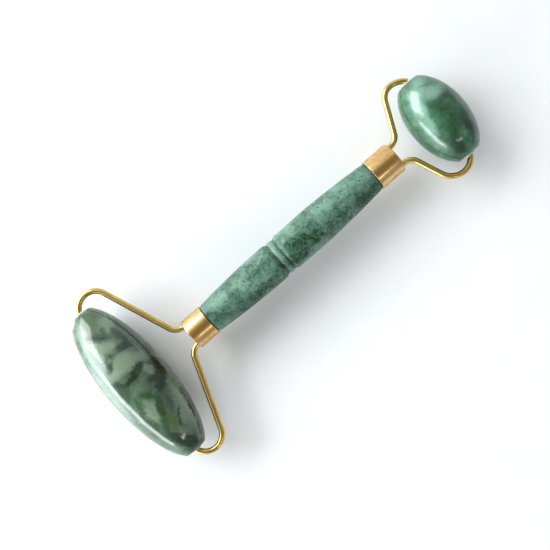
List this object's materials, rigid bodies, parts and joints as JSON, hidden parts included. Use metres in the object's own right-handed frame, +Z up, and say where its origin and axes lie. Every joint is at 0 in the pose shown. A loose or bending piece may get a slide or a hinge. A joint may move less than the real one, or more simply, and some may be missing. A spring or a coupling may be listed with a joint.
{
  "type": "face roller",
  "caption": "Double-ended stone face roller: a turned handle with a metal ferrule and bent wire yoke at each end, each yoke holding a freely turning polished barrel.",
  "frame": {"origin": "on the surface that the two rollers rest on, below the middle of the overall length, in the plane through the handle's axis", "axes": "+X along the handle towards the small roller, +Z up away from the surface, Y along the roller axes"},
  "size_m": [0.1486, 0.0668, 0.0215],
  "materials": {
    "handle_stone": "satin polished",
    "large_roller_stone": "glossy polished",
    "small_roller_stone": "glossy polished",
    "ferrule_brass": "satin",
    "wire_brass": "drawn wire, semi-bright",
    "pin_steel": "bright",
    "bush_nylon": "moulded",
    "epoxy": "cured adhesive"
  },
  "bodies": {
    "frame": {"handle": "handle_stone", "ferrule_large_end": "ferrule_brass", "ferrule_small_end": "ferrule_brass", "epoxy_large_end": "epoxy", "epoxy_small_end": "epoxy", "yoke_large": "wire_brass", "yoke_small": "wire_brass", "pivot_pin_large_left": "pin_steel", "pivot_pin_large_right": "pin_steel", "pivot_pin_small_left": "pin_steel", "pivot_pin_small_right": "pin_steel"},
    "large_roller": {"roller_large": "large_roller_stone", "bush_large_left": "bush_nylon", "bush_large_right": "bush_nylon"},
    "small_roller": {"roller_small": "small_roller_stone", "bush_small_left": "bush_nylon", "bush_small_right": "bush_nylon"}
  },
  "joints": [
    {"name": "large_roller_spin", "type": "hinge", "parent": "frame", "child": "large_roller", "pos_m": [-0.0636, 0, 0.01077], "axis": [0, 1, 0], "continuous": true},
    {"name": "small_roller_spin", "type": "hinge", "parent": "frame", "child": "small_roller", "pos_m": [0.0647, 0, 0.00967], "axis": [0, 1, 0], "continuous": true}
  ]
}
